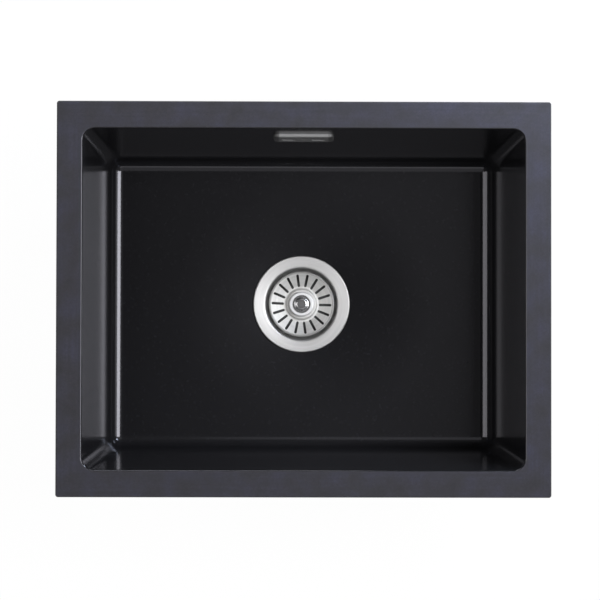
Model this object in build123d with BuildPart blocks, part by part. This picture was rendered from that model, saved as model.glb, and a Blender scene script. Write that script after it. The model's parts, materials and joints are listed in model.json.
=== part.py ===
from build123d import *

import os
from math import cos, radians, sin, sqrt, tan

# Single-bowl granite composite kitchen sink with a basket strainer waste and an overflow.
# Millimetres, +Z up. The origin is the centre of the rim's flat top face, +X runs along
# the long side and +Y points to the back wall, which holds the overflow.

# Driving dimensions: the casting
sink_length = 550.0
sink_width = 440.0
rim_end_width = 29.0
rim_side_width = 30.3
rim_thickness = 12.0
rim_corner_step = 1.5
rim_outer_edge_radius = 1.5
rim_inner_edge_radius = 2.5
rim_root_radius = 6.0
bowl_depth = 200.0
wall_draft = 6.6
wall_thickness = 9.0
floor_thickness = 10.0
cove_radius = 14.0
floor_fall = 3.0
dish_margin = 7.0
pad_margin = 5.0
pad_height = 4.0
pad_edge_radius = 1.5

# Driving dimensions: threaded inserts under the rim
insert_radius = 4.0
insert_cover = 3.0
insert_bore_radius = 2.5
insert_spacing = 340.0
insert_clearance = 0.05

# Driving dimensions: waste cup and its gaskets
flange_width = 15.1
flange_fall = 0.9
flange_edge_radius = 1.6
flange_lip_gap = 0.3
seat_recess = 3.15
seat_gap = 1.0
cup_sheet = 1.2
cup_mouth_radius = 41.9
cup_mouth_curl = 3.2
cup_taper = 0.7
cone_top_drop = 6.5
cone_run = 12.7
cone_foot_drop = 20.0
sump_taper = 1.0
cone_top_bend = 3.0
cone_foot_bend = 4.0
sump_bend = 5.0
port_count = 6
port_radius = 6.5
port_washer_gap = 1.5
waste_hole_gap = 1.9
flange_gasket_thickness = 1.5
waste_gasket_thickness = 3.0
gasket_hole_gap = 1.0
gasket_edge_gap = 0.2

# Driving dimensions: basket strainer
basket_sheet = 0.9
basket_gap = 3.2
basket_rim_width = 2.2
basket_rim_drop = 3.0
basket_rim_lip = 2.0
basket_rim_edge_radius = 1.2
basket_rim_bend = 1.6
basket_floor_drop = 10.2
basket_cone_run = 15.5
basket_floor_width = 2.4
basket_floor_bend = 3.0
boss_height = 3.5
boss_taper = 1.4
boss_bend = 1.5
slot_count = 18
slot_width = 3.0
slot_inner_margin = 2.0
slot_outer_margin = 1.2
slot_start_angle = 18.0
seal_thickness = 3.0
seal_clearance = 0.3
retainer_margin = 5.0
retainer_thickness = 1.2
stem_radius = 3.0
stem_collar_width = 2.0
stem_top_step = 0.5
stem_thread_length = 5.0
stem_tip_length = 12.8
stem_tip_gap = 0.3
stem_clearance = 0.1
nut_wall = 2.0
nut_height = 3.6
knob_neck_wall = 3.0
knob_neck_height = 2.4
knob_overhang = 9.0
knob_thickness = 3.2
knob_edge_radius = 1.2
knob_root_radius = 0.8
knob_foot_radius = 0.3
knob_shoulder = 6.7
knob_button_height = 3.6
knob_button_edge = 1.6

# Driving dimensions: centre screw and the socket that holds the stem
washer_margin = 1.3
washer_thickness = 1.0
screw_radius = 4.0
screw_hole_clearance = 0.2
screw_head_wall = 2.7
screw_tip = 1.3
screw_point = 0.8
socket_floor = 1.2
bush_wall = 0.9
bush_flange_width = 1.9
bush_flange_thickness = 1.0
bush_seat_gap = 0.3
ring_radius = 0.55
ring_groove_gap = 0.15

# Driving dimensions: moulded waste body
body_flange_margin = 1.8
body_flange_thickness = 5.0
body_hole_margin = 1.0
body_wall = 3.5
body_cone_depth = 16.0
body_edge_radius = 2.0
gusset_count = 12
gusset_height = 8.0
gusset_thickness = 2.5
outlet_radius = 23.9
outlet_wall = 3.9
outlet_thread_length = 18.0
outlet_neck_length = 4.0
outlet_neck_relief = 1.4
hub_wall = 2.5
hub_depth = 15.0
hub_gap = 8.3
web_count = 4
web_thickness = 3.0
web_drop = 3.0
screw_insert_wall = 2.0
screw_insert_floor = 3.0

# Driving dimensions: overflow
overflow_drop = 11.0
overflow_hole_length = 50.0
overflow_hole_height = 17.0
overflow_hole_corner = 5.0
cover_overlap_x = 9.0
cover_overlap_y = 5.5
cover_corner_radius = 6.5
cover_sheet = 1.0
cover_inner_radius = 1.4
cover_side_height = 1.6
cover_slot_height = 8.0
cover_slot_gap = 2.4
overflow_gasket_thickness = 1.5
housing_flange_margin_x = 4.0
housing_flange_margin_y = 3.0
housing_flange_thickness = 3.0
housing_corner_radius = 7.0
housing_box_margin_x = 2.0
housing_box_margin_y = 3.5
housing_wall = 2.5
housing_inner_radius = 2.5
housing_edge_step = 1.0
screw_boss_radius = 5.0
overflow_screw_radius = 2.2
overflow_screw_head_radius = 4.6
overflow_screw_engagement = 7.5
overflow_screw_end_gap = 2.0
overflow_screw_clearance = 0.15

# Driving dimensions: overflow pipe and its joints
pipe_radius = 9.0
pipe_wall = 1.6
pipe_bend_radius = 40.0
pipe_fit = 0.2
pipe_wall_gap = 0.3
pipe_insertion = 18.0
socket_skin = 1.3
socket_shoulder = 1.6
socket_rise = 5.0
pipe_seal_width = 2.6
pipe_seal_depth = 1.4
pipe_seal_gap = 0.1
spigot_wall = 3.8
spigot_shoulder = 6.0
cone_seal_length = 5.0
cone_seal_taper = 2.2
pipe_nut_wall = 4.0
pipe_nut_overlap = 10.0
pipe_nut_end_wall = 3.5
pipe_nut_flange_gap = 1.0
pipe_nut_top_gap = 4.0
pipe_nut_rib_count = 16
pipe_nut_rib_height = 1.2
pipe_nut_rib_width = 2.4
pipe_nut_fit = 0.15

# Plan sizes of the casting
draft_run = tan(radians(wall_draft))
draft_cos = cos(radians(wall_draft))
draft_sin = sin(radians(wall_draft))
bowl_length = sink_length - 2 * rim_end_width
bowl_width = sink_width - 2 * rim_side_width
cove_reach = cove_radius / tan(radians(90 + wall_draft) / 2)
dish_radius = bowl_width / 2 - bowl_depth * draft_run - cove_reach - dish_margin
root_reach = wall_thickness + rim_root_radius
insert_x = (sink_length - rim_end_width + root_reach) / 2
insert_y = (sink_width - rim_side_width + root_reach) / 2
insert_length = rim_thickness - insert_cover

# Radii of the waste, worked out from the mouth of its cup
flange_radius = cup_mouth_radius + flange_width
flange_slope = flange_fall / flange_width
seat_radius = flange_radius + seat_gap
cone_top_radius = cup_mouth_radius - cup_taper
cone_foot_radius = cone_top_radius - cone_run
sump_radius = cone_foot_radius - sump_taper
waste_hole_radius = cup_mouth_radius + cup_sheet + waste_hole_gap
gasket_inner_radius = waste_hole_radius + gasket_hole_gap
gasket_outer_radius = flange_radius - flange_edge_radius - gasket_edge_gap
body_flange_radius = gasket_outer_radius + body_flange_margin
body_radius = waste_hole_radius + body_hole_margin
body_bore = body_radius - body_wall
outlet_bore = outlet_radius - outlet_wall
pad_radius = body_flange_radius + pad_margin
basket_rim_radius = cup_mouth_radius - basket_gap
basket_cone_radius = basket_rim_radius - basket_rim_width
basket_floor_radius = basket_cone_radius - basket_cone_run
boss_foot_radius = basket_floor_radius - basket_floor_width
boss_radius = boss_foot_radius - boss_taper

# Radii of the stem, its socket and the screw, worked out from the stem and the screw
stem_collar_radius = stem_radius + stem_collar_width
stem_top_radius = stem_radius - stem_top_step
knob_neck_radius = stem_top_radius + knob_neck_wall
knob_radius = knob_neck_radius + knob_overhang
knob_button_radius = knob_radius - knob_shoulder
bush_bore = stem_radius + stem_clearance
groove_radius = bush_bore + 2 * ring_radius + ring_groove_gap
socket_radius = groove_radius + bush_wall + stem_clearance
bush_flange_radius = socket_radius + bush_flange_width
screw_head_radius = socket_radius + screw_head_wall
washer_radius = screw_head_radius / cos(radians(30)) + washer_margin
port_circle_radius = washer_radius + port_washer_gap + port_radius
screw_insert_radius = screw_radius + screw_insert_wall
hub_radius = screw_insert_radius + hub_wall
screw_insert_length = hub_depth - screw_insert_floor

# Sizes of the overflow, worked out from its hole in the wall and from its pipe
housing_box_length = overflow_hole_length + 2 * housing_box_margin_x
housing_box_height = overflow_hole_height + 2 * housing_box_margin_y
housing_flange_length = housing_box_length + 2 * housing_flange_margin_x
housing_flange_height = housing_box_height + 2 * housing_flange_margin_y
housing_box_edge_radius = housing_wall + housing_inner_radius
overflow_depth = rim_thickness + rim_root_radius + overflow_drop + housing_flange_height / 2
cover_edge_radius = cover_sheet + cover_inner_radius
cover_projection = cover_edge_radius + cover_side_height
cover_dimple_radius = overflow_screw_head_radius + cover_sheet
cover_slot_start = cover_dimple_radius + cover_slot_gap
cover_slot_length = overflow_hole_length / 2 - cover_slot_start
cover_slot_offset = cover_slot_start + cover_slot_length / 2
pipe_bore = pipe_radius - pipe_wall
socket_outer_radius = pipe_radius + pipe_seal_depth + pipe_seal_gap + socket_skin
socket_reach = pipe_wall_gap + socket_outer_radius - overflow_gasket_thickness
housing_box_depth = socket_reach + pipe_bore + housing_wall
spigot_radius = pipe_radius + pipe_fit + spigot_wall
pipe_nut_radius = spigot_radius + pipe_nut_fit + pipe_nut_wall
spigot_mouth = body_flange_radius + pipe_nut_flange_gap + pipe_nut_overlap
pipe_start = body_radius + spigot_shoulder

# Heights of the casting and of the waste flange in it
floor_z = -bowl_depth
underside_z = floor_z - floor_thickness
pad_z = underside_z - pad_height
dish_z = floor_z - floor_fall
seat_z = dish_z - seat_recess
gasket_drop = (flange_radius - gasket_inner_radius) * flange_slope
flange_top = seat_z + flange_gasket_thickness + cup_sheet * sqrt(1 + flange_slope**2) + gasket_drop

# Heights down the middle of the basket, from its boss to the tip of its stem
basket_floor_z = flange_top - basket_floor_drop
boss_z = basket_floor_z + boss_height
collar_top = boss_z - basket_sheet
seal_top = basket_floor_z - basket_sheet
seal_foot = seal_top - seal_thickness
retainer_z = seal_foot - retainer_thickness
nut_z = retainer_z - nut_height
stem_tip = nut_z - stem_tip_length

# Heights of the centre screw, the cup's floor and the waste body below it
bush_top = nut_z - bush_seat_gap
head_top = bush_top - bush_flange_thickness
socket_z = stem_tip - stem_tip_gap
washer_top = socket_z - socket_floor
sump_z = washer_top - washer_thickness
body_top = pad_z - waste_gasket_thickness
port_z = body_top - pipe_nut_top_gap - pipe_nut_radius
hub_top = sump_z - cup_sheet - hub_gap
hub_foot = hub_top - hub_depth
barrel_z = hub_top - hub_depth / 2
cone_z = barrel_z - body_cone_depth
thread_z = cone_z - outlet_neck_length
outlet_z = thread_z - outlet_thread_length

os.makedirs("parts", exist_ok=True)


def level(drop):
    """Height of a point that lies a given drop below the top of the waste flange."""
    return flange_top - drop


def write(builder, name):
    """Labels a finished piece and writes it as its own STEP file."""
    builder.part.label = name
    export_step(builder.part, f"parts/{name}.step")


# Planes of the back wall at the overflow, with local Y up along the wall
wall_y = bowl_width / 2 - overflow_depth * draft_run
wall_inside = Plane(
    origin=(0, wall_y, -overflow_depth), x_dir=(1, 0, 0), z_dir=(0, -draft_cos, draft_sin)
)
wall_outside = Plane(
    origin=wall_inside.offset(-wall_thickness * draft_cos).origin,
    x_dir=(-1, 0, 0),
    z_dir=(0, draft_cos, -draft_sin),
)

# The bowl and rim, one casting
insert_places = [(sx * insert_spacing / 2, sy * insert_y) for sx in (-1, 1) for sy in (-1, 1)]
insert_places += [(-insert_x, 0), (insert_x, 0)]

with BuildPart() as sink_bowl:
    # Drafted walls, outside and inside
    with BuildSketch():
        Rectangle(bowl_length + 2 * wall_thickness, bowl_width + 2 * wall_thickness)
    extrude(amount=underside_z)
    with BuildSketch():
        Rectangle(bowl_length, bowl_width)
    extrude(amount=floor_z, mode=Mode.SUBTRACT)
    draft(sink_bowl.faces(Select.LAST).filter_by(Plane.XY, reverse=True), Plane.XY, wall_draft)
    upright_faces = sink_bowl.faces().filter_by(lambda face: abs(face.normal_at().Z) < draft_sin / 2)
    draft(upright_faces, Plane.XY, -wall_draft)

    # Corners and coves of one radius, so that they meet in part of a ball
    bowl_floor = sink_bowl.faces().filter_by(Plane.XY).filter_by_position(Axis.Z, floor_z, floor_z)[0]
    wall_edges = sink_bowl.edges().filter_by(Plane.XY, reverse=True).sort_by_distance((0, 0, floor_z))
    fillet(wall_edges[:4] + bowl_floor.edges(), cove_radius)
    underside = sink_bowl.faces().sort_by(Axis.Z)[0]
    wall_edges = sink_bowl.edges().filter_by(Plane.XY, reverse=True).sort_by_distance((0, 0, floor_z))
    fillet(wall_edges[-4:] + underside.edges(), cove_radius + wall_thickness)

    # Rim, with a fillet where the wall meets its underside
    with BuildSketch():
        RectangleRounded(sink_length, sink_width, rim_outer_edge_radius + rim_corner_step)
        RectangleRounded(
            bowl_length + wall_thickness,
            bowl_width + wall_thickness,
            cove_radius + wall_thickness / 2,
            mode=Mode.SUBTRACT,
        )
    extrude(amount=-rim_thickness)
    rim_underside = sink_bowl.faces().filter_by(Plane.XY).group_by(Axis.Z)[-2][0]
    fillet(rim_underside.inner_wires()[0].edges(), rim_root_radius)
    rim_top = sink_bowl.faces().filter_by(Plane.XY).sort_by(Axis.Z)[-1]
    fillet(rim_top.inner_wires()[0].edges(), rim_inner_edge_radius)
    rim_top = sink_bowl.faces().filter_by(Plane.XY).sort_by(Axis.Z)[-1]
    fillet(rim_top.outer_wire().edges(), rim_outer_edge_radius)

    # Clamping pad under the floor
    with BuildSketch(Plane.XY.offset(pad_z)):
        Circle(pad_radius)
    extrude(amount=pad_height + floor_thickness / 2)
    fillet(sink_bowl.edges().group_by(Axis.Z)[0], pad_edge_radius)

    # Floor falling gently to the waste, with a recess for the flange
    with BuildSketch(Plane.XZ):
        with BuildLine():
            fall = TangentArc((dish_radius, floor_z), (seat_radius, dish_z), tangent=(-1, 0))
            Polyline(fall @ 1, (seat_radius, seat_z), (0, seat_z), (0, floor_z), fall @ 0)
        make_face()
    revolve(axis=Axis.Z, mode=Mode.SUBTRACT)
    with BuildSketch(Plane.XY.offset(seat_z)):
        Circle(waste_hole_radius)
    extrude(amount=pad_z - seat_z, mode=Mode.SUBTRACT)

    # Overflow opening through the back wall
    with BuildSketch(wall_inside):
        RectangleRounded(overflow_hole_length, overflow_hole_height, overflow_hole_corner)
    extrude(amount=2 * wall_thickness, both=True, mode=Mode.SUBTRACT)

    # Blind holes for the inserts
    with BuildSketch(Plane.XY.offset(-rim_thickness)):
        with Locations(*insert_places):
            Circle(insert_radius)
    extrude(amount=insert_length, mode=Mode.SUBTRACT)

write(sink_bowl, "sink_bowl")

with BuildPart() as rim_inserts:
    with BuildSketch(Plane.XY.offset(-rim_thickness + insert_clearance)):
        with Locations(*insert_places):
            Circle(insert_radius - insert_clearance)
            Circle(insert_bore_radius, mode=Mode.SUBTRACT)
    extrude(amount=insert_length - 2 * insert_clearance)

write(rim_inserts, "rim_inserts")

# Waste cup: a pressed flange, a seat cone and a sump with drain ports
with BuildPart() as waste_cup:
    with BuildSketch(Plane.XZ):
        with BuildLine():
            FilletPolyline(
                (flange_radius, seat_z + flange_lip_gap),
                (flange_radius, flange_top),
                (cup_mouth_radius, level(flange_fall)),
                (cone_top_radius, level(cone_top_drop)),
                (cone_foot_radius, level(cone_foot_drop)),
                (sump_radius, sump_z),
                (screw_radius + screw_hole_clearance, sump_z),
                radius=[flange_edge_radius, cup_mouth_curl, cone_top_bend, cone_foot_bend, sump_bend],
            )
            offset(amount=cup_sheet, side=Side.LEFT)
        make_face()
    revolve(axis=Axis.Z)
    with BuildSketch(Plane.XY.offset(sump_z + sump_bend)):
        with PolarLocations(port_circle_radius, port_count):
            Circle(port_radius)
    extrude(amount=-sump_bend - 2 * cup_sheet, mode=Mode.SUBTRACT)

write(waste_cup, "waste_cup")

with BuildPart() as flange_gasket:
    with BuildSketch(Plane.XY.offset(seat_z)):
        Circle(gasket_outer_radius)
        Circle(gasket_inner_radius, mode=Mode.SUBTRACT)
    extrude(amount=flange_gasket_thickness)

write(flange_gasket, "flange_gasket")

with BuildPart() as waste_gasket:
    with BuildSketch(Plane.XY.offset(body_top)):
        Circle(gasket_outer_radius)
        Circle(gasket_inner_radius, mode=Mode.SUBTRACT)
    extrude(amount=waste_gasket_thickness)

write(waste_gasket, "waste_gasket")

# Basket strainer: slotted shell
basket_rim_z = level(basket_rim_drop)
slot_inner_radius = boss_foot_radius + slot_inner_margin
slot_outer_radius = basket_cone_radius - slot_outer_margin
with BuildPart() as basket_shell:
    with BuildSketch(Plane.XZ):
        with BuildLine():
            FilletPolyline(
                (basket_rim_radius, basket_rim_z - basket_rim_lip),
                (basket_rim_radius, basket_rim_z),
                (basket_cone_radius, basket_rim_z),
                (basket_floor_radius, basket_floor_z),
                (boss_foot_radius, basket_floor_z),
                (boss_radius, boss_z),
                (stem_top_radius + stem_clearance, boss_z),
                radius=[
                    basket_rim_edge_radius, basket_rim_bend, basket_floor_bend, boss_bend, boss_bend
                ],
            )
            offset(amount=basket_sheet, side=Side.LEFT)
        make_face()
    revolve(axis=Axis.Z)
    slot_length = slot_outer_radius - slot_inner_radius
    with BuildSketch(Plane.XY.offset(basket_rim_z)):
        with PolarLocations((slot_inner_radius + slot_outer_radius) / 2, slot_count, slot_start_angle):
            SlotOverall(slot_length, slot_width)
    extrude(amount=-basket_floor_drop, mode=Mode.SUBTRACT)

write(basket_shell, "basket_shell")

# Seal whose bevelled edge follows the seat cone of the cup
cone_slope = cone_run / (cone_foot_drop - cone_top_drop)


def seat_cone_radius(z):
    """Radius of the cup's seat cone at a height, less the seal's clearance square to it."""
    on_cone = cone_top_radius - (level(cone_top_drop) - z) * cone_slope
    return on_cone - seal_clearance * sqrt(1 + cone_slope**2)


with BuildPart() as basket_seal:
    with BuildSketch(Plane.XZ):
        with BuildLine():
            Polyline(
                (stem_collar_radius + stem_clearance, seal_foot),
                (seat_cone_radius(seal_foot), seal_foot),
                (seat_cone_radius(seal_top), seal_top),
                (stem_collar_radius + stem_clearance, seal_top),
                close=True,
            )
        make_face()
    revolve(axis=Axis.Z)

write(basket_seal, "basket_seal")

with BuildPart() as seal_retainer:
    with BuildSketch(Plane.XY.offset(retainer_z)):
        Circle(seat_cone_radius(seal_foot) - retainer_margin)
        Circle(stem_radius + stem_clearance, mode=Mode.SUBTRACT)
    extrude(amount=retainer_thickness)
    fillet(seal_retainer.edges().group_by(Axis.Z)[0].sort_by(SortBy.RADIUS)[-1], retainer_thickness / 2)

write(seal_retainer, "seal_retainer")

with BuildPart() as stem_nut:
    with BuildSketch(Plane.XY.offset(nut_z)):
        RegularPolygon(stem_radius + nut_wall, 6, major_radius=False)
        Circle(stem_radius + stem_clearance, mode=Mode.SUBTRACT)
    extrude(amount=nut_height)

write(stem_nut, "stem_nut")

# Stem: threaded top, collar between the boss and the retainer, plain tip in the socket
stem_top = boss_z + stem_thread_length
with BuildPart() as basket_stem:
    with BuildSketch(Plane.XZ):
        with BuildLine():
            Polyline(
                (0, stem_tip),
                (stem_radius, stem_tip),
                (stem_radius, seal_foot),
                (stem_collar_radius, seal_foot),
                (stem_collar_radius, collar_top),
                (stem_top_radius, collar_top),
                (stem_top_radius, stem_top),
                (0, stem_top),
                close=True,
            )
        make_face()
    revolve(axis=Axis.Z)
    fillet(basket_stem.edges().group_by(Axis.Z)[0], stem_radius / 2)

write(basket_stem, "basket_stem")

# Knob: a neck, a broad grip disc and a raised button
neck_top = boss_z + knob_neck_height
disc_top = neck_top + knob_thickness
knob_top = disc_top + knob_button_height
with BuildPart() as basket_knob:
    with BuildSketch(Plane.XZ):
        with BuildLine():
            FilletPolyline(
                (0, boss_z),
                (knob_neck_radius, boss_z),
                (knob_neck_radius, neck_top),
                (knob_radius, neck_top),
                (knob_radius, disc_top),
                (knob_button_radius, disc_top),
                (knob_button_radius - knob_button_edge, knob_top),
                (0, knob_top),
                radius=[
                    knob_foot_radius,
                    knob_root_radius,
                    knob_edge_radius,
                    knob_edge_radius,
                    knob_root_radius,
                    knob_button_edge,
                ],
            )
            Line((0, knob_top), (0, boss_z))
        make_face()
    revolve(axis=Axis.Z)
    with BuildSketch(Plane.XY.offset(boss_z)):
        Circle(stem_top_radius + stem_clearance)
    extrude(amount=stem_thread_length + stem_clearance, mode=Mode.SUBTRACT)

write(basket_knob, "basket_knob")

# Centre screw with a hollow head that holds the stem's socket bush
with BuildPart() as screw_washer:
    with BuildSketch(Plane.XY.offset(sump_z)):
        Circle(washer_radius)
        Circle(screw_radius + screw_hole_clearance, mode=Mode.SUBTRACT)
    extrude(amount=washer_thickness)

write(screw_washer, "screw_washer")

with BuildPart() as clamping_screw:
    with BuildSketch(Plane.XY.offset(washer_top)):
        RegularPolygon(screw_head_radius, 6, major_radius=False)
    extrude(amount=head_top - washer_top)
    with BuildSketch(Plane.XY.offset(washer_top)):
        Circle(screw_radius)
    extrude(amount=hub_top - screw_insert_length - screw_tip - washer_top)
    chamfer(clamping_screw.edges().group_by(Axis.Z)[0], screw_point)
    with BuildSketch(Plane.XY.offset(socket_z)):
        Circle(socket_radius)
    extrude(amount=head_top - socket_z, mode=Mode.SUBTRACT)

write(clamping_screw, "clamping_screw")

bush_foot = socket_z + bush_seat_gap
ring_z = (bush_foot + head_top) / 2
with BuildPart() as socket_bush:
    with BuildSketch(Plane.XZ):
        with BuildLine():
            Polyline(
                (bush_bore, bush_foot),
                (socket_radius - stem_clearance, bush_foot),
                (socket_radius - stem_clearance, head_top),
                (bush_flange_radius, head_top),
                (bush_flange_radius, bush_top),
                (bush_bore, bush_top),
                close=True,
            )
        make_face()
        with Locations((bush_bore, ring_z)):
            Rectangle(
                2 * (groove_radius - bush_bore), 2 * (ring_radius + ring_groove_gap), mode=Mode.SUBTRACT
            )
    revolve(axis=Axis.Z)

write(socket_bush, "socket_bush")

with BuildPart() as catch_ring:
    with BuildSketch(Plane.XZ):
        with Locations((bush_bore + ring_radius, ring_z)):
            Circle(ring_radius)
    revolve(axis=Axis.Z)

write(catch_ring, "catch_ring")

# Moulded waste body: clamping flange, barrel, cone, threaded outlet and overflow spigot
with BuildPart() as waste_body:
    with BuildSketch(Plane.XZ):
        with BuildLine():
            Polyline(
                (body_bore, body_top),
                (body_flange_radius, body_top),
                (body_flange_radius, body_top - body_flange_thickness),
                (body_radius, body_top - body_flange_thickness),
                (body_radius, barrel_z),
                (outlet_radius - outlet_neck_relief, cone_z),
                (outlet_radius - outlet_neck_relief, thread_z),
                (outlet_radius, thread_z),
                (outlet_radius, outlet_z),
                (outlet_bore, outlet_z),
                (outlet_bore, cone_z),
                (body_bore, barrel_z),
                close=True,
            )
        make_face()
    revolve(axis=Axis.Z)
    body_rings = waste_body.edges().filter_by(GeomType.CIRCLE)
    fillet(body_rings.filter_by_position(Axis.Z, barrel_z, barrel_z), body_edge_radius)

    # Gussets between the barrel and the clamping flange, clear of the spigot
    gusset_top = body_top - body_flange_thickness
    for turn in range(1, gusset_count):
        with BuildSketch(Plane.YZ.rotated((0, 0, turn * 360 / gusset_count))):
            with BuildLine():
                Polyline(
                    (body_radius - body_wall / 2, gusset_top),
                    (body_flange_radius - gusset_thickness, gusset_top),
                    (body_radius, gusset_top - gusset_height),
                    (body_radius - body_wall / 2, gusset_top - gusset_height),
                    close=True,
                )
            make_face()
        extrude(amount=gusset_thickness / 2, both=True)

    # Spigot for the overflow pipe
    with BuildSketch(Plane(origin=(0, body_bore, port_z), z_dir=(0, 1, 0))):
        Circle(spigot_radius)
    extrude(amount=spigot_mouth - body_bore)
    with BuildSketch(Plane.XY.offset(barrel_z)):
        Circle(body_bore)
    extrude(amount=body_top - barrel_z, mode=Mode.SUBTRACT)
    with BuildSketch(Plane(origin=(0, 0, port_z), z_dir=(0, 1, 0))):
        Circle(pipe_bore)
    extrude(amount=spigot_mouth, mode=Mode.SUBTRACT)
    with BuildSketch(Plane(origin=(0, pipe_start, port_z), z_dir=(0, 1, 0))):
        Circle(pipe_radius + pipe_fit)
    extrude(amount=spigot_mouth - pipe_start, mode=Mode.SUBTRACT)

    # Hub for the screw insert, carried on webs from the cone
    with BuildSketch(Plane.XY.offset(hub_foot)):
        Circle(hub_radius)
    extrude(amount=hub_depth)
    web_angle = 180 / web_count
    for turn in range(web_count):
        across = Plane.XZ.rotated((0, 0, web_angle + turn * 360 / web_count))
        with BuildSketch(across):
            with BuildLine():
                Polyline(
                    (0, hub_top - web_drop),
                    (body_bore + body_wall / 2, hub_top - web_drop),
                    (body_bore + body_wall / 2, barrel_z),
                    (outlet_bore + outlet_wall / 2, cone_z),
                    (hub_radius, hub_foot),
                    (0, hub_foot),
                    close=True,
                )
            make_face()
        extrude(amount=web_thickness / 2, both=True)
    with BuildSketch(Plane.XY.offset(hub_top)):
        Circle(screw_insert_radius)
    extrude(amount=-screw_insert_length, mode=Mode.SUBTRACT)
    with BuildSketch(Plane.XY.offset(hub_top)):
        Circle(screw_radius + screw_hole_clearance)
    extrude(amount=-hub_depth, mode=Mode.SUBTRACT)

write(waste_body, "waste_body")

with BuildPart() as screw_insert:
    with BuildSketch(Plane.XY.offset(hub_top - screw_insert_length)):
        Circle(screw_insert_radius - insert_clearance)
        Circle(screw_radius + insert_clearance, mode=Mode.SUBTRACT)
    extrude(amount=screw_insert_length)

write(screw_insert, "screw_insert")

# Overflow cover: a shallow pressed dish with two inlet slots and a dimple for its screw
cover_axis = Axis(wall_inside.origin, wall_inside.z_dir)
cover_plane = wall_inside.offset(cover_projection)
head_drop = overflow_screw_head_radius - overflow_screw_radius
with BuildPart() as overflow_cover:
    with BuildSketch(wall_inside):
        RectangleRounded(
            overflow_hole_length + 2 * cover_overlap_x,
            overflow_hole_height + 2 * cover_overlap_y,
            cover_corner_radius,
        )
    extrude(amount=cover_projection)
    fillet(overflow_cover.faces().sort_by(cover_axis)[-1].edges(), cover_edge_radius)
    offset(amount=-cover_sheet, openings=overflow_cover.faces().sort_by(cover_axis)[0])
    with BuildSketch(cover_plane):
        with Locations((-cover_slot_offset, 0), (cover_slot_offset, 0)):
            SlotOverall(cover_slot_length, cover_slot_height)
    extrude(amount=-2 * cover_sheet, mode=Mode.SUBTRACT)

    # Dimple
    with BuildSketch(cover_plane):
        Circle(cover_dimple_radius)
    extrude(amount=-head_drop - cover_sheet / 2)
    with Locations(cover_plane):
        CounterSinkHole(
            overflow_screw_radius + overflow_screw_clearance,
            overflow_screw_head_radius + overflow_screw_clearance,
            counter_sink_angle=90,
        )

write(overflow_cover, "overflow_cover")

# Countersunk screw that pulls the cover and the housing onto the wall
screw_section = Plane(origin=cover_plane.origin, x_dir=(1, 0, 0), z_dir=(0, -draft_sin, -draft_cos))
wall_stack = cover_projection + wall_thickness * draft_cos + overflow_gasket_thickness
overflow_screw_length = wall_stack + overflow_screw_engagement
with BuildPart() as overflow_screw:
    with BuildSketch(screw_section):
        with BuildLine():
            Polyline(
                (0, 0),
                (overflow_screw_head_radius, 0),
                (overflow_screw_radius, -head_drop),
                (overflow_screw_radius, -overflow_screw_length),
                (0, -overflow_screw_length),
                close=True,
            )
        make_face()
    revolve(axis=cover_axis)

write(overflow_screw, "overflow_screw")

with BuildPart() as overflow_gasket:
    with BuildSketch(wall_outside):
        RectangleRounded(housing_flange_length, housing_flange_height, housing_corner_radius)
        RectangleRounded(
            overflow_hole_length, overflow_hole_height, overflow_hole_corner, mode=Mode.SUBTRACT
        )
    extrude(amount=overflow_gasket_thickness)

write(overflow_gasket, "overflow_gasket")

# Overflow housing: a flanged box behind the wall with a socket for the pipe below it
housing_face = wall_outside.offset(overflow_gasket_thickness)
socket_top = -(overflow_depth + housing_box_height / 2)
pipe_end = socket_top - socket_shoulder
socket_foot = pipe_end - pipe_insertion
wall_back = bowl_width / 2 + wall_thickness + socket_top * draft_run
pipe_y = wall_back + pipe_wall_gap + socket_outer_radius
pipe_seal_z = pipe_end - pipe_insertion / 2

with BuildPart() as overflow_housing:
    with BuildSketch(housing_face):
        RectangleRounded(housing_flange_length, housing_flange_height, housing_corner_radius)
    extrude(amount=housing_flange_thickness)
    with BuildSketch(housing_face):
        RectangleRounded(housing_box_length, housing_box_height, housing_box_edge_radius)
    extrude(amount=housing_box_depth)
    housing_axis = Axis(housing_face.origin, housing_face.z_dir)
    housing_back = overflow_housing.faces().sort_by(housing_axis)[-1]
    fillet(housing_back.edges(), housing_box_edge_radius - housing_edge_step)
    with BuildSketch(Plane.XY.offset(socket_foot)):
        with Locations((0, pipe_y)):
            Circle(socket_outer_radius)
    extrude(amount=socket_top + socket_rise - socket_foot)
    with BuildSketch(housing_face):
        Rectangle(housing_flange_length, housing_flange_height)
    extrude(amount=-socket_outer_radius, mode=Mode.SUBTRACT)
    with BuildSketch(housing_face):
        RectangleRounded(
            housing_box_length - 2 * housing_wall,
            housing_box_height - 2 * housing_wall,
            housing_inner_radius,
        )
    extrude(amount=housing_box_depth - housing_wall, mode=Mode.SUBTRACT)

    # Bore, pipe seat and seal groove of the socket
    with BuildSketch(Plane.XY.offset(socket_foot)):
        with Locations((0, pipe_y)):
            Circle(pipe_bore)
    extrude(amount=-overflow_depth - socket_foot, mode=Mode.SUBTRACT)
    with BuildSketch(Plane.XY.offset(socket_foot)):
        with Locations((0, pipe_y)):
            Circle(pipe_radius + pipe_fit)
    extrude(amount=pipe_insertion, mode=Mode.SUBTRACT)
    with BuildSketch(Plane.XY.offset(pipe_seal_z)):
        with Locations((0, pipe_y)):
            Circle(pipe_radius + pipe_seal_depth + pipe_seal_gap)
    extrude(amount=pipe_seal_width / 2 + pipe_seal_gap, both=True, mode=Mode.SUBTRACT)

    # Boss that takes the cover's screw
    with BuildSketch(housing_face):
        Circle(screw_boss_radius)
    extrude(amount=housing_box_depth - housing_wall)
    with BuildSketch(housing_face):
        Circle(overflow_screw_radius + overflow_screw_clearance)
    extrude(amount=overflow_screw_engagement + overflow_screw_end_gap, mode=Mode.SUBTRACT)

write(overflow_housing, "overflow_housing")

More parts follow.
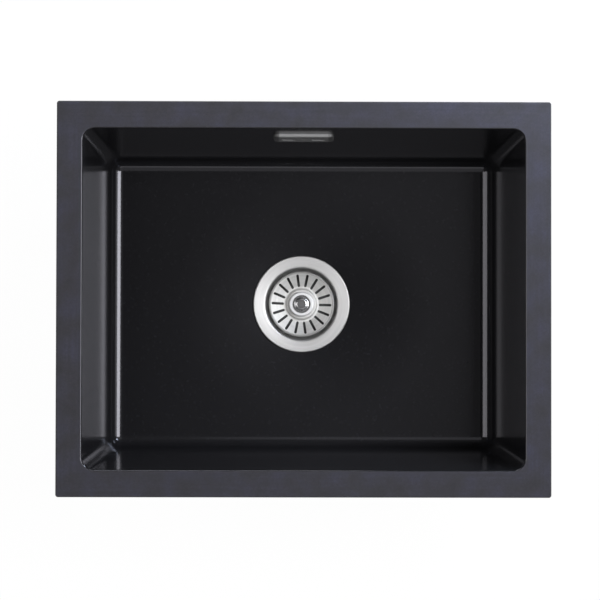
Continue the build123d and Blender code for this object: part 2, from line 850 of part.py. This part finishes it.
with BuildPart() as pipe_seal:
    with BuildSketch(Plane.XY.offset(pipe_seal_z)):
        with Locations((0, pipe_y)):
            Circle(pipe_radius + pipe_seal_depth)
            Circle(pipe_radius + pipe_seal_gap / 2, mode=Mode.SUBTRACT)
    extrude(amount=pipe_seal_width / 2, both=True)

write(pipe_seal, "pipe_seal")

# Rigid overflow pipe from the waste body's spigot, under the bowl and up to the housing
with BuildPart() as overflow_pipe:
    with BuildLine():
        FilletPolyline(
            (0, pipe_start, port_z), (0, pipe_y, port_z), (0, pipe_y, pipe_end), radius=pipe_bend_radius
        )
    with BuildSketch(Plane(origin=(0, pipe_start, port_z), z_dir=(0, 1, 0))):
        Circle(pipe_radius)
        Circle(pipe_bore, mode=Mode.SUBTRACT)
    sweep()

write(overflow_pipe, "overflow_pipe")

# Tapered seal and compression nut on the spigot
along_pipe = Plane(origin=(0, 0, port_z), x_dir=(0, 0, 1), z_dir=(-1, 0, 0))
pipe_axis = Axis((0, 0, port_z), (0, 1, 0))
seal_bore = pipe_radius + pipe_seal_gap
seal_end = spigot_mouth + cone_seal_length
with BuildPart() as pipe_cone_seal:
    with BuildSketch(along_pipe):
        with BuildLine():
            Polyline(
                (seal_bore, spigot_mouth),
                (spigot_radius - pipe_nut_fit, spigot_mouth),
                (spigot_radius - cone_seal_taper, seal_end),
                (seal_bore, seal_end),
                close=True,
            )
        make_face()
    revolve(axis=pipe_axis)

write(pipe_cone_seal, "pipe_cone_seal")

nut_mouth = spigot_mouth - pipe_nut_overlap
nut_end = seal_end + pipe_nut_end_wall
with BuildPart() as pipe_nut:
    with BuildSketch(Plane(origin=(0, nut_mouth, port_z), z_dir=(0, 1, 0))):
        Circle(pipe_nut_radius - pipe_nut_rib_height)
        with PolarLocations(pipe_nut_radius - pipe_nut_rib_height, pipe_nut_rib_count):
            Rectangle(2 * pipe_nut_rib_height, pipe_nut_rib_width)
    extrude(amount=nut_end - nut_mouth)
    with BuildSketch(along_pipe):
        with BuildLine():
            Polyline(
                (0, nut_mouth),
                (spigot_radius + pipe_nut_fit, nut_mouth),
                (spigot_radius + pipe_nut_fit, spigot_mouth),
                (spigot_radius - cone_seal_taper + pipe_nut_fit, seal_end),
                (pipe_radius + pipe_fit, seal_end),
                (pipe_radius + pipe_fit, nut_end),
                (0, nut_end),
                close=True,
            )
        make_face()
    revolve(axis=pipe_axis, mode=Mode.SUBTRACT)

write(pipe_nut, "pipe_nut")
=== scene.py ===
import json
import math
from functools import cached_property

import bmesh
import bpy
from mathutils import Matrix, Vector


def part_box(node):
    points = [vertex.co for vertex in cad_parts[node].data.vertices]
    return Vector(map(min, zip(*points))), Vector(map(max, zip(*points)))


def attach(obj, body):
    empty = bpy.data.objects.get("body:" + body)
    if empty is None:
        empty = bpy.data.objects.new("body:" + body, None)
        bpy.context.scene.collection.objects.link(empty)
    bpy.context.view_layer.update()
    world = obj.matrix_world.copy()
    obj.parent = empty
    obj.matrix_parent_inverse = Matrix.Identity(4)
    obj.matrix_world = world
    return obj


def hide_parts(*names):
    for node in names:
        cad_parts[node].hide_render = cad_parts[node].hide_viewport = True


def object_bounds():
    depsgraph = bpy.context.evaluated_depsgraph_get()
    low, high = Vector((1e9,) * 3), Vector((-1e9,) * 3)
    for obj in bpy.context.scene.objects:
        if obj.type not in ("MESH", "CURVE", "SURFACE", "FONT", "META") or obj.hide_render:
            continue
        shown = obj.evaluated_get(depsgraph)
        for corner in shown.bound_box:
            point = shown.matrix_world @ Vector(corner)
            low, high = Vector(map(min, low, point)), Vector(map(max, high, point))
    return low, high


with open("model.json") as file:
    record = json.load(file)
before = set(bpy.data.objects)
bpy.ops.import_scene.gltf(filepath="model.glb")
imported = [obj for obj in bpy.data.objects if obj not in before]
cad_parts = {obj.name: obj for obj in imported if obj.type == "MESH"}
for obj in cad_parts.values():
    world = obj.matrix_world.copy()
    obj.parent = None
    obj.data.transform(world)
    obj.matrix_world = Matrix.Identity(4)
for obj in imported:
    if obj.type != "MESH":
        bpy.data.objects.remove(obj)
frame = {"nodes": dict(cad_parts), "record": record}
cad_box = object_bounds()

MM = 0.001

# The casting, in metres, with the coves' distances from the middle of the floor
RIM_END_WIDTH = 0.029
RIM_SIDE_WIDTH = 0.0303
WALL_DRAFT = math.radians(6.6)
FLOOR_DEPTH = 0.2
COVE_END = 0.215
COVE_SIDE = 0.16

# How deep the bowl's satin skin goes, and the stretch over which it turns into the cast outside
SKIN = 0.004
SKIN_BLEND = 0.002

# How far below the rim's top face the sanding is whole, and where it has faded out
SANDING_WHOLE = 0.000022
SANDING_GONE = 0.000244

# Looks of the casting, with texture scales in cells to the metre
BOWL_COLOUR = (0.0094, 0.0093, 0.0104)
OUTSIDE_COLOUR = (0.0240, 0.0240, 0.0250)
RIM_GREY = (0.0178, 0.0168, 0.0196, 1.0)
RIM_BLUE = (0.0152, 0.0150, 0.0230, 1.0)
GRANITE_SHEEN = (0.93, 0.92, 1.0, 1.0)
BOWL_ROUGHNESS = 0.15
OUTSIDE_ROUGHNESS = 0.45
GRAIN_SCALE = 1500.0
SANDING_SCALE = 600.0
FLECK_SCALE = 650.0
FLECK_SHARE = 0.035
FLECK_GAIN = 0.35
CLOUD_SCALE = 45.0
STROKE_ALONG = 9.0
STROKE_ACROSS = 300.0
CAST_SCALE = 1400.0
CAST_DEPTH = 0.00008

# Looks of the steel
FLANGE_COLOUR = (0.48, 0.474, 0.472)
BASKET_COLOUR = (0.63, 0.625, 0.616)
KNOB_COLOUR = (0.70, 0.70, 0.71)
COVER_COLOUR = (0.30, 0.30, 0.302)
# Width of the basket's outer edge band, which is darkened with painted shade
BASKET_EDGE = 0.0022
POLISH_RADIUS = 0.0104
RADIUS_BLEND = 0.0006
# Half-length of the cover's straight run; past it the rounded ends are darkened with painted shade
COVER_STRAIGHT = 0.0268
COVER_BLEND = 0.002
# Tone of the painted shade on the basket's outer edge and on the cover's rounded ends
PAINTED_SHADE_TONE = 0.5
RING_SCALE = 2600.0
BROAD_RING_SCALE = 330.0
GRAIN_ALONG = 60.0
GRAIN_ACROSS = 2400.0
HAZE_SCALE = 240.0
BRUSH_DEPTH = 0.00004
KNOB_BRUSH_DEPTH = 0.00003

# Looks of the mouldings
FLOW_SCALE = 28.0
FINE_SKIN_SCALE = 900.0
COARSE_SKIN_SCALE = 700.0
MOULD_DEPTH = 0.00006

# Threads, where the shares are of the pitch
OUTLET_PITCH = 0.00231
OUTLET_RIDGE = 0.00045
OUTLET_RUNOUT = 0.0015
OUTLET_STEPS = 48
INSERT_PITCH = 0.001
INSERT_RIDGE = 0.00035
INSERT_STEPS = 20
THREAD_FOOT_SHARE = 0.42
THREAD_CREST_SHARE = 0.105

# Countersunk screw of the overflow
SCREW_HEAD_RADIUS = 0.0046
SCREW_SHANK_RADIUS = 0.0022
SCREW_TIP_RADIUS = 0.00055
SCREW_EDGE = 0.0002
SCREW_STEPS = 48
RECESS_ARM = 0.0026
RECESS_HALF_WIDTH = 0.00055
RECESS_DEPTH = 0.0017
RECESS_TAPER = 0.55

# Camera
CAMERA_PLACE = (-0.0478, -0.0970, 3.3518)
CAMERA_TURN = (0.0286, -0.0130, 0.0020)
CAMERA_LENS = 181.3
CAMERA_SENSOR = 36.0
CAMERA_REACH = 100.0

# Floor of the studio
PAPER_SIZE = 30.0
PAPER_GAP = 0.0005
PAPER_COLOUR = (0.95, 0.95, 0.95, 1.0)
PAPER_ROUGHNESS = 0.9
PAPER_SHARE = 0.975

# Glow of the studio, and where it changes, as upward and rightward parts of a direction of length 1
HORIZON_GLOW = 0.2
WALL_GLOW = 0.07
CEILING_GLOW = 0.002
RIGHT_GLOW = 0.18
HORIZON_TOP = 0.20
WALL_FOOT = 0.50
WALL_TOP = 0.955
CEILING_EDGE = 0.997
RIGHT_START = -0.06
RIGHT_WHOLE = 0.09

# Lamps: the sides that they stand on, in degrees from the right, and the tints of their light
RIGHT, BACK_RIGHT, BACK, LEFT, FRONT = 0.0, 60.0, 90.0, 180.0, 270.0
LAMP_DISTANCE = 3.2
COOL = (0.97, 0.98, 1.0)
WARM = (1.0, 0.99, 0.98)
WHITE = (1.0, 1.0, 1.0)
PALE_BLUE = (0.94, 0.96, 1.0)
BLUE = (0.76, 0.85, 1.0)

# Places of the colour sockets on a Mix node
MIX_FIRST, MIX_LAST, MIX_RESULT = 6, 7, 2


class Nodes:
    """Short calls for the nodes of a material or of the world."""

    def __init__(self, owner):
        owner.use_nodes = True
        self.nodes = owner.node_tree.nodes
        self.links = owner.node_tree.links

    def add(self, kind, **settings):
        """A new node of a kind, with its settings."""
        node = self.nodes.new("ShaderNode" + kind)
        for name, value in settings.items():
            setattr(node, name, value)
        return node

    def feed(self, socket, value):
        """Links a socket to another one, or sets it to a plain value."""
        if isinstance(value, bpy.types.NodeSocket):
            self.links.new(value, socket)
        else:
            socket.default_value = value

    def feed_all(self, node, values):
        """Feeds a node's first sockets in their order."""
        for socket, value in zip(node.inputs, values):
            self.feed(socket, value)

    def math(self, operation, *values):
        node = self.add("Math", operation=operation)
        self.feed_all(node, values)
        return node.outputs[0]

    def plus(self, first, second):
        return self.math("ADD", first, second)

    def minus(self, first, second):
        return self.math("SUBTRACT", first, second)

    def times(self, first, second):
        return self.math("MULTIPLY", first, second)

    def split(self, vector):
        node = self.add("SeparateXYZ")
        self.feed(node.inputs[0], vector)
        return node.outputs

    def ramp(self, value, low, high, first, last, kind="LINEAR"):
        """From first where a value is low to last where it is high."""
        node = self.add("MapRange", interpolation_type=kind)
        self.feed_all(node, (value, low, high, first, last))
        return node.outputs[0]

    def fade(self, value, first, last):
        """From first where a value is 0 to last where it is 1."""
        return self.ramp(value, 0.0, 1.0, first, last)

    def vary(self, noise, first, last, spread=0.2):
        """From first to last over the middle stretch of a noise, a spread to each side of a half."""
        return self.ramp(noise, 0.5 - spread, 0.5 + spread, first, last)


class Painter(Nodes):
    """A new material, with short calls for what the finishes share."""

    def __init__(self, name):
        self.material = bpy.data.materials.new(name)
        super().__init__(self.material)
        self.shader = self.nodes["Principled BSDF"]

    @cached_property
    def place(self):
        """The place on the object, in metres."""
        return self.add("TexCoord").outputs["Object"]

    def set(self, **values):
        """Feeds the shader's sockets, named with underscores for spaces."""
        for name, value in values.items():
            self.feed(self.shader.inputs[name.replace("_", " ")], value)

    def noise(self, scale, detail, vector=None):
        """A soft noise at the place on the object, or at another vector."""
        node = self.add("TexNoise")
        self.feed(node.inputs["Vector"], self.place if vector is None else vector)
        self.feed(node.inputs["Scale"], scale)
        self.feed(node.inputs["Detail"], detail)
        return node.outputs["Fac"]

    def streaks(self, scale_x, scale_y, scale_z, detail):
        """A noise drawn out along the axes with the smaller scales."""
        node = self.add("VectorMath", operation="MULTIPLY")
        self.feed_all(node, (self.place, (scale_x, scale_y, scale_z)))
        return self.noise(1.0, detail, node.outputs[0])

    def rings(self, radius, height, sweep, scale, detail):
        """A noise drawn out into rings round the waste's axis."""
        node = self.add("CombineXYZ")
        self.feed_all(node, (self.times(radius, scale), self.times(height, scale), sweep))
        return self.noise(1.0, detail, node.outputs[0])

    def grains(self, scale):
        """A random value for each grain of a mineral mix."""
        node = self.add("TexVoronoi")
        self.feed(node.inputs["Vector"], self.place)
        self.feed(node.inputs["Scale"], scale)
        return self.split(node.outputs["Color"])[0]

    def radius(self, x, y):
        """The distance from the waste's axis."""
        return self.math("SQRT", self.plus(self.times(x, x), self.times(y, y)))

    def mix(self, factor, first, last):
        """From one colour or value to another."""
        node = self.add("Mix", data_type="RGBA")
        self.feed(node.inputs["Factor"], factor)
        self.feed(node.inputs[MIX_FIRST], first)
        self.feed(node.inputs[MIX_LAST], last)
        return node.outputs[MIX_RESULT]

    def shade(self, colour, factor):
        """A colour made lighter or darker by a factor."""
        node = self.add("VectorMath", operation="SCALE")
        self.feed(node.inputs[0], colour)
        self.feed(node.inputs["Scale"], factor)
        return node.outputs[0]

    def bump(self, height, strength, distance):
        """Fine relief on the shader's normal."""
        node = self.add("Bump")
        self.feed(node.inputs["Strength"], strength)
        self.feed(node.inputs["Distance"], distance)
        self.feed(node.inputs["Height"], height)
        self.set(Normal=node.outputs[0])


def granite():
    """Cast composite: a sanded rim, a satin bowl and a duller cast outside, all of the same fine grains."""
    look = Painter("granite_composite")
    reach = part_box("sink_bowl")[1]
    x, y, z = look.split(look.place)
    past_end = look.minus(look.math("ABSOLUTE", x), reach.x - RIM_END_WIDTH)
    past_side = look.minus(look.math("ABSOLUTE", y), reach.y - RIM_SIDE_WIDTH)
    past_wall = look.minus(look.math("MAXIMUM", past_end, past_side), look.times(z, math.tan(WALL_DRAFT)))
    beside = look.ramp(past_wall, SKIN, SKIN + SKIN_BLEND, 0.0, 1.0)
    skin_foot = -FLOOR_DEPTH - SKIN - SKIN_BLEND
    below = look.ramp(z, skin_foot, skin_foot - SKIN_BLEND, 0.0, 1.0)
    outside = look.math("MAXIMUM", beside, below)
    rim = look.ramp(z, -SANDING_GONE, -SANDING_WHOLE, 0.0, 1.0)

    strokes_x = look.streaks(STROKE_ALONG, STROKE_ACROSS, 1.0, detail=4.0)
    strokes_y = look.streaks(STROKE_ACROSS, STROKE_ALONG, 1.0, detail=4.0)
    strokes = look.mix(look.math("GREATER_THAN", past_end, past_side), strokes_x, strokes_y)
    cloud = look.noise(CLOUD_SCALE, detail=4.0)
    grain = look.grains(GRAIN_SCALE)
    sanding = look.grains(SANDING_SCALE)
    fleck = look.math("GREATER_THAN", look.grains(FLECK_SCALE), 1.0 - FLECK_SHARE)

    bowl_tone = look.plus(look.fade(grain, 0.82, 1.18), look.times(fleck, FLECK_GAIN))
    outside_tone = look.vary(cloud, 0.8, 1.2, spread=0.25)
    colour = look.mix(outside, look.shade(BOWL_COLOUR, bowl_tone), look.shade(OUTSIDE_COLOUR, outside_tone))
    rim_tone = look.times(look.vary(strokes, 0.66, 1.34), look.vary(cloud, 0.72, 1.28))
    rim_tone = look.times(rim_tone, look.fade(sanding, 0.85, 1.15))
    rim_tint = look.mix(look.vary(cloud, 0.0, 1.0, spread=0.15), RIM_GREY, RIM_BLUE)
    look.set(Base_Color=look.mix(rim, colour, look.shade(rim_tint, rim_tone)))

    dullness = look.fade(outside, BOWL_ROUGHNESS, OUTSIDE_ROUGHNESS)
    dullness = look.plus(dullness, look.fade(grain, -0.02, 0.02))
    rim_dullness = look.vary(strokes, 0.72, 0.86)
    look.set(Roughness=look.plus(dullness, look.times(rim, look.minus(rim_dullness, dullness))))
    look.set(Specular_IOR_Level=0.5, Specular_Tint=GRANITE_SHEEN)
    relief = look.mix(rim, look.noise(CAST_SCALE, detail=1.0), strokes)
    look.bump(relief, strength=0.10, distance=CAST_DEPTH)
    return look.material


def turned_steel(name, colour, roughness, painted_shade_from=None):
    """Steel with the fine rings of buffing round the waste's axis, and painted shade that darkens it past a
    given radius.
    """
    look = Painter(name)
    x, y, z = look.split(look.place)
    radius = look.radius(x, y)
    sweep = look.math("ARCTAN2", y, x)
    fine = look.rings(radius, z, sweep, RING_SCALE, detail=3.0)
    broad = look.rings(radius, z, sweep, BROAD_RING_SCALE, detail=2.0)
    tone = look.times(look.vary(fine, 0.93, 1.07), look.vary(broad, 0.94, 1.06))
    # Painted shade: darker past the radius, as on the basket's outer edge, which lies in shade in the gap
    # round the cup
    if painted_shade_from is not None:
        tone = look.times(tone, look.ramp(radius, painted_shade_from - RADIUS_BLEND, painted_shade_from, 1.0, PAINTED_SHADE_TONE))
    look.set(Base_Color=look.shade(colour, tone), Metallic=1.0, Anisotropic=0.22, Anisotropic_Rotation=0.25)
    look.set(Roughness=look.vary(fine, roughness - 0.05, roughness + 0.06))
    look.set(Tangent=look.add("Tangent", direction_type="RADIAL", axis="Z").outputs[0])
    look.bump(fine, strength=0.12, distance=BRUSH_DEPTH)
    return look.material


def knob_steel():
    """A brushed grip ring round a polished middle."""
    look = Painter("knob_steel")
    x, y, z = look.split(look.place)
    radius = look.radius(x, y)
    fine = look.rings(radius, z, 0.0, RING_SCALE, detail=3.0)
    ring = look.ramp(radius, POLISH_RADIUS, POLISH_RADIUS + RADIUS_BLEND, 0.0, 1.0)
    tone = look.times(look.fade(ring, 1.0, 0.9), look.vary(fine, 0.95, 1.05))
    look.set(Base_Color=look.shade(KNOB_COLOUR, tone), Metallic=1.0)
    look.set(Roughness=look.plus(look.fade(ring, 0.17, 0.40), look.vary(fine, -0.03, 0.03)))
    look.bump(fine, strength=0.10, distance=KNOB_BRUSH_DEPTH)
    return look.material


def drawn_steel():
    """Sheet steel with straight grain along its length, with painted shade that darkens its rounded ends.
    """
    look = Painter("drawn_steel")
    fine = look.streaks(GRAIN_ALONG, GRAIN_ACROSS, GRAIN_ACROSS, detail=3.0)
    from_middle = look.math("ABSOLUTE", look.split(look.place)[0])
    # Painted shade on the cover's rounded ends
    ends = look.ramp(from_middle, COVER_STRAIGHT, COVER_STRAIGHT + COVER_BLEND, 1.0, PAINTED_SHADE_TONE)
    tone = look.times(ends, look.vary(fine, 0.92, 1.08))
    look.set(Base_Color=look.shade(COVER_COLOUR, tone), Metallic=1.0)
    look.set(Roughness=look.vary(fine, 0.56, 0.66))
    look.bump(fine, strength=0.12, distance=BRUSH_DEPTH)
    return look.material


def polished(name, colour, roughness):
    """Plated or polished metal with faint handling haze."""
    look = Painter(name)
    haze = look.noise(HAZE_SCALE, detail=3.0)
    look.set(Base_Color=look.shade(colour, look.vary(haze, 0.97, 1.03)), Metallic=1.0)
    look.set(Roughness=look.vary(haze, roughness, roughness + 0.05))
    return look.material


def moulded(name, colour, roughness, skin_scale):
    """Moulded plastic or rubber with a fine spark-eroded skin."""
    look = Painter(name)
    skin = look.noise(skin_scale, detail=2.0)
    flow = look.noise(FLOW_SCALE, detail=2.0)
    look.set(Base_Color=look.shade(colour, look.vary(flow, 0.95, 1.05)))
    look.set(Roughness=look.vary(skin, roughness - 0.05, roughness + 0.05))
    look.bump(skin, strength=0.15, distance=MOULD_DEPTH)
    return look.material


def paint(piece, material):
    """Gives a piece one material all over."""
    piece.data.materials.clear()
    piece.data.materials.append(material)


def mesh_piece(name, shape, body, material):
    """A finished bmesh as a new piece that rides on a body."""
    shape.normal_update()
    data = bpy.data.meshes.new(name)
    shape.to_mesh(data)
    shape.free()
    piece = bpy.data.objects.new(name, data)
    bpy.context.scene.collection.objects.link(piece)
    paint(piece, material)
    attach(piece, body)
    return piece


def ring_of(shape, points):
    """New corners of a mesh, one for each point."""
    return [shape.verts.new(point) for point in points]


def join_rings(shape, first, second):
    """A band of faces between two closed rings of as many points."""
    for i in range(len(first)):
        k = (i + 1) % len(first)
        shape.faces.new((first[i], first[k], second[k], second[i]))


def fill_between(shape, loops):
    """Flat faces inside the first closed ring and outside the others."""
    edges = []
    for loop in loops:
        for first, second in zip(loop, loop[1:] + loop[:1]):
            edges.append(shape.edges.get((first, second)) or shape.edges.new((first, second)))
    bmesh.ops.triangle_fill(shape, edges=edges, use_beauty=True, normal=(0.0, 0.0, 1.0))


def add_thread(shape, centre, radius, bottom, top, pitch, ridge, steps):
    """A thread ridge on a cylinder, outwards for a positive ridge, that fades out at both ends."""
    count = round((top - bottom) / pitch * steps)
    foot, flat = THREAD_FOOT_SHARE * pitch, THREAD_CREST_SHARE * pitch
    rings = []
    for i in range(count + 1):
        angle = 2 * math.pi * i / steps
        way_x, way_y = math.cos(angle), math.sin(angle)
        height = bottom + (top - bottom) * i / count
        crest = radius + ridge * min(1.0, i / steps, (count - i) / steps)
        section = ((radius, -foot), (crest, -flat), (crest, flat), (radius, foot))
        points = [(centre[0] + r * way_x, centre[1] + r * way_y, height + rise) for r, rise in section]
        rings.append(ring_of(shape, points))
    for first, second in zip(rings, rings[1:]):
        for k in range(len(first) - 1):
            corners = (first[k], second[k], second[k + 1], first[k + 1])
            shape.faces.new(corners if ridge > 0 else tuple(reversed(corners)))


def outlet_thread(material):
    """Pipe thread on the waste's outlet, as long and as wide as the outlet's mount says."""
    outlet = next(mount["dims"] for mount in frame["record"]["mounts"] if mount["name"] == "trap_outlet")
    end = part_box("waste_body")[0].z
    bottom, top = end + OUTLET_RUNOUT, end + outlet["length_mm"] * MM - OUTLET_RUNOUT
    shape = bmesh.new()
    radius = outlet["r_mm"] * MM
    add_thread(shape, (0.0, 0.0), radius, bottom, top, OUTLET_PITCH, OUTLET_RIDGE, OUTLET_STEPS)
    mesh_piece("outlet_thread", shape, "sink", material)


def insert_threads(material):
    """Metric threads inside the rim's inserts, at the places that the clip mounts give."""
    low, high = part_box("rim_inserts")
    bottom, top = low.z + INSERT_PITCH / 2, high.z - INSERT_PITCH / 2
    shape = bmesh.new()
    for mount in frame["record"]["mounts"]:
        if mount["kind"] != "bolt_pattern":
            continue
        sizes = mount["dims"]
        reach_x = sizes["spacing_x_mm"] * MM / 2
        reach_y = sizes.get("spacing_y_mm", 0.0) * MM / 2
        hole = sizes["hole_r_mm"] * MM
        for x in (-reach_x, reach_x):
            for y in sorted({-reach_y, reach_y}):
                add_thread(shape, (x, y), hole, bottom, top, INSERT_PITCH, -INSERT_RIDGE, INSERT_STEPS)
    mesh_piece("insert_threads", shape, "sink", material)


def cross_outline(scale, height):
    """The corners of a cross, anticlockwise, at a height along the screw's axis."""
    arm, half = scale * RECESS_ARM, scale * RECESS_HALF_WIDTH
    quarter = ((arm, -half), (arm, half), (half, half))
    points = []
    for turn in range(4):
        cosine, sine = round(math.cos(turn * math.pi / 2)), round(math.sin(turn * math.pi / 2))
        points += [(cosine * x - sine * y, sine * x + cosine * y, height) for x, y in quarter]
    return points


def overflow_screw(material):
    """A countersunk screw with a cross recess, square to the back wall."""
    low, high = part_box("overflow_screw")
    sine, cosine = math.sin(WALL_DRAFT), math.cos(WALL_DRAFT)
    face = Vector((0.0, low.y + SCREW_HEAD_RADIUS * sine, high.z - SCREW_HEAD_RADIUS * cosine))
    length = (high.y - SCREW_SHANK_RADIUS * sine - face.y) / cosine
    cone = SCREW_HEAD_RADIUS - SCREW_SHANK_RADIUS
    profile = (
        (SCREW_HEAD_RADIUS - SCREW_EDGE, 0.0),
        (SCREW_HEAD_RADIUS, -SCREW_EDGE),
        (SCREW_SHANK_RADIUS, -cone - SCREW_EDGE),
        (SCREW_SHANK_RADIUS, -length + SCREW_SHANK_RADIUS),
        (SCREW_TIP_RADIUS, -length),
    )
    shape = bmesh.new()
    angles = [2 * math.pi * i / SCREW_STEPS for i in range(SCREW_STEPS)]
    rings = [ring_of(shape, [(r * math.cos(a), r * math.sin(a), z) for a in angles]) for r, z in profile]
    for upper, lower in zip(rings, rings[1:]):
        join_rings(shape, lower, upper)
    shape.faces.new(reversed(rings[-1]))
    mouth = ring_of(shape, cross_outline(1.0, 0.0))
    pit = ring_of(shape, cross_outline(RECESS_TAPER, -RECESS_DEPTH))
    join_rings(shape, pit, mouth)
    fill_between(shape, (rings[0], mouth))
    fill_between(shape, (pit,))
    bmesh.ops.recalc_face_normals(shape, faces=shape.faces)
    shape.transform(Matrix.Translation(face) @ Matrix.Rotation(math.pi / 2 - WALL_DRAFT, 4, "X"))
    piece = mesh_piece("overflow_cross_screw", shape, "sink", material)
    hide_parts("overflow_screw")


def stage_floor():
    """A pale floor under the waste, white to the eye and in reflections, that keeps the object's shadow."""
    bpy.ops.mesh.primitive_plane_add(size=PAPER_SIZE, location=(0, 0, cad_box[0].z - PAPER_GAP))
    floor = bpy.context.object
    floor.name = "floor"
    look = Painter("floor_paper")
    look.set(Base_Color=PAPER_COLOUR, Roughness=PAPER_ROUGHNESS)
    rays = look.add("LightPath").outputs
    seen = look.math("MAXIMUM", rays["Is Camera Ray"], rays["Is Glossy Ray"])
    seen = look.math("MAXIMUM", seen, rays["Is Transmission Ray"])
    glow = look.add("Emission")
    blend = look.add("MixShader")
    look.feed_all(blend, (look.times(seen, PAPER_SHARE), look.shader.outputs[0], glow.outputs[0]))
    look.feed(look.nodes["Material Output"].inputs["Surface"], blend.outputs[0])
    paint(floor, look.material)


def softbox(name, aim, lean, turn, size, radiance, tint, distance=LAMP_DISTANCE):
    """A flat lamp that faces a point from a lean off the vertical, turned about it from the right."""
    data = bpy.data.lights.new(name, "AREA")
    data.shape = "RECTANGLE"
    width, length = size
    data.size, data.size_y = width, length
    data.energy = radiance * math.pi * width * length
    data.color = tint
    lamp = bpy.data.objects.new(name, data)
    lean, turn = math.radians(lean), math.radians(turn)
    way = Vector((math.sin(lean) * math.cos(turn), math.sin(lean) * math.sin(turn), math.cos(lean)))
    lamp.location = Vector(aim) + distance * way
    lamp.rotation_euler = (0.0, lean, turn)
    lamp.visible_camera = False
    bpy.context.scene.collection.objects.link(lamp)


def studio_lamps():
    """Large soft lamps on all four sides, and two small ones close to the rim's back and right corner."""
    left_cove = (-COVE_END, 0.0, -FLOOR_DEPTH)
    right_cove = (COVE_END, 0.0, -FLOOR_DEPTH)
    back_cove = (0.0, COVE_SIDE, -FLOOR_DEPTH)
    behind_left_cove = (-COVE_END, 0.24, -FLOOR_DEPTH)
    right_of_front_cove = (0.87, -0.165, -FLOOR_DEPTH)
    rim_back = (-0.14, 0.2, 0.0)
    rim_corner = (0.27, 0.17, 0.0)
    softbox("softbox_right", behind_left_cove, 34.0, RIGHT, size=(1.72, 1.2), radiance=12.5, tint=COOL)
    softbox("softbox_right_low", left_cove, 58.0, RIGHT, size=(0.96, 1.0), radiance=1.4, tint=COOL)
    softbox("softbox_left", right_cove, 33.0, LEFT, size=(1.36, 1.2), radiance=3.3, tint=WARM)
    softbox("softbox_left_low", right_cove, 54.0, LEFT, size=(0.9, 1.2), radiance=3.2, tint=WARM)
    softbox("softbox_front", back_cove, 35.0, FRONT, size=(2.4, 2.5), radiance=0.45, tint=WHITE)
    softbox("softbox_front_low", back_cove, 58.0, FRONT, size=(0.9, 2.5), radiance=1.0, tint=WHITE)
    softbox(
        "softbox_back", rim_back, 72.0, BACK, size=(0.2, 0.5), radiance=6.0, tint=PALE_BLUE,
        distance=0.5,
    )
    softbox("softbox_back_high", right_of_front_cove, 30.0, BACK, size=(1.36, 2.0), radiance=0.5, tint=COOL)
    softbox(
        "softbox_corner", rim_corner, 60.0, BACK_RIGHT, size=(0.22, 0.22), radiance=30.0, tint=BLUE,
        distance=0.42,
    )


def studio_world():
    """A dim studio, dark overhead and softly lit on the right, for the bowl's floor and coves to mirror."""
    world = bpy.data.worlds.new("studio")
    sky = Nodes(world)
    way = sky.split(sky.add("TexCoord").outputs["Generated"])
    walls = sky.ramp(way["Z"], HORIZON_TOP, WALL_FOOT, HORIZON_GLOW, WALL_GLOW, "SMOOTHSTEP")
    ceiling = sky.ramp(way["Z"], WALL_TOP, CEILING_EDGE, WALL_GLOW, CEILING_GLOW, "SMOOTHSTEP")
    right = sky.ramp(way["X"], RIGHT_START, RIGHT_WHOLE, 0.0, RIGHT_GLOW)
    glow = sky.math("MAXIMUM", sky.math("MINIMUM", walls, ceiling), right)
    background = sky.nodes["Background"]
    sky.feed(background.inputs["Color"], (*WHITE, 1.0))
    sky.feed(background.inputs["Strength"], glow)
    bpy.context.scene.world = world


def photo_camera():
    """The photograph's view: nearly straight down, from high up, through a long lens."""
    data = bpy.data.cameras.new("camera")
    data.lens = CAMERA_LENS
    data.sensor_width = CAMERA_SENSOR
    data.clip_end = CAMERA_REACH
    camera = bpy.data.objects.new("camera", data)
    camera.location = CAMERA_PLACE
    camera.rotation_euler = CAMERA_TURN
    bpy.context.scene.collection.objects.link(camera)
    bpy.context.scene.camera = camera


# Finishes by the record's material slots, then the pieces that have one of their own
basket_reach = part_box("basket_shell")[1].x
finishes = {
    "granite": granite(),
    # The basket's outer edge band gets painted shade
    "brushed_steel": turned_steel("basket_steel", BASKET_COLOUR, 0.64, basket_reach - BASKET_EDGE),
    "bright_steel": polished("bright_steel", (0.60, 0.60, 0.60), 0.18),
    "chrome": knob_steel(),
    "brass": polished("brass", (0.72, 0.55, 0.25), 0.30),
    "rubber": moulded("rubber", (0.020, 0.020, 0.021), 0.62, FINE_SKIN_SCALE),
    "white_plastic": moulded("white_plastic", (0.74, 0.74, 0.72), 0.38, COARSE_SKIN_SCALE),
    "bush_plastic": moulded("bush_plastic", (0.12, 0.12, 0.12), 0.40, FINE_SKIN_SCALE),
}
for row in frame["record"]["subparts"]:
    paint(frame["nodes"][row["node"]], finishes[row["material_slot"]])
cover_steel = drawn_steel()
paint(frame["nodes"]["waste_cup"], turned_steel("flange_steel", FLANGE_COLOUR, 0.46))
paint(frame["nodes"]["overflow_cover"], cover_steel)

# Small pieces that the frame leaves plain
outlet_thread(finishes["white_plastic"])
insert_threads(finishes["brass"])
overflow_screw(cover_steel)

# Studio
stage_floor()
studio_world()
studio_lamps()
photo_camera()
bpy.context.scene.view_settings.view_transform = "Standard"
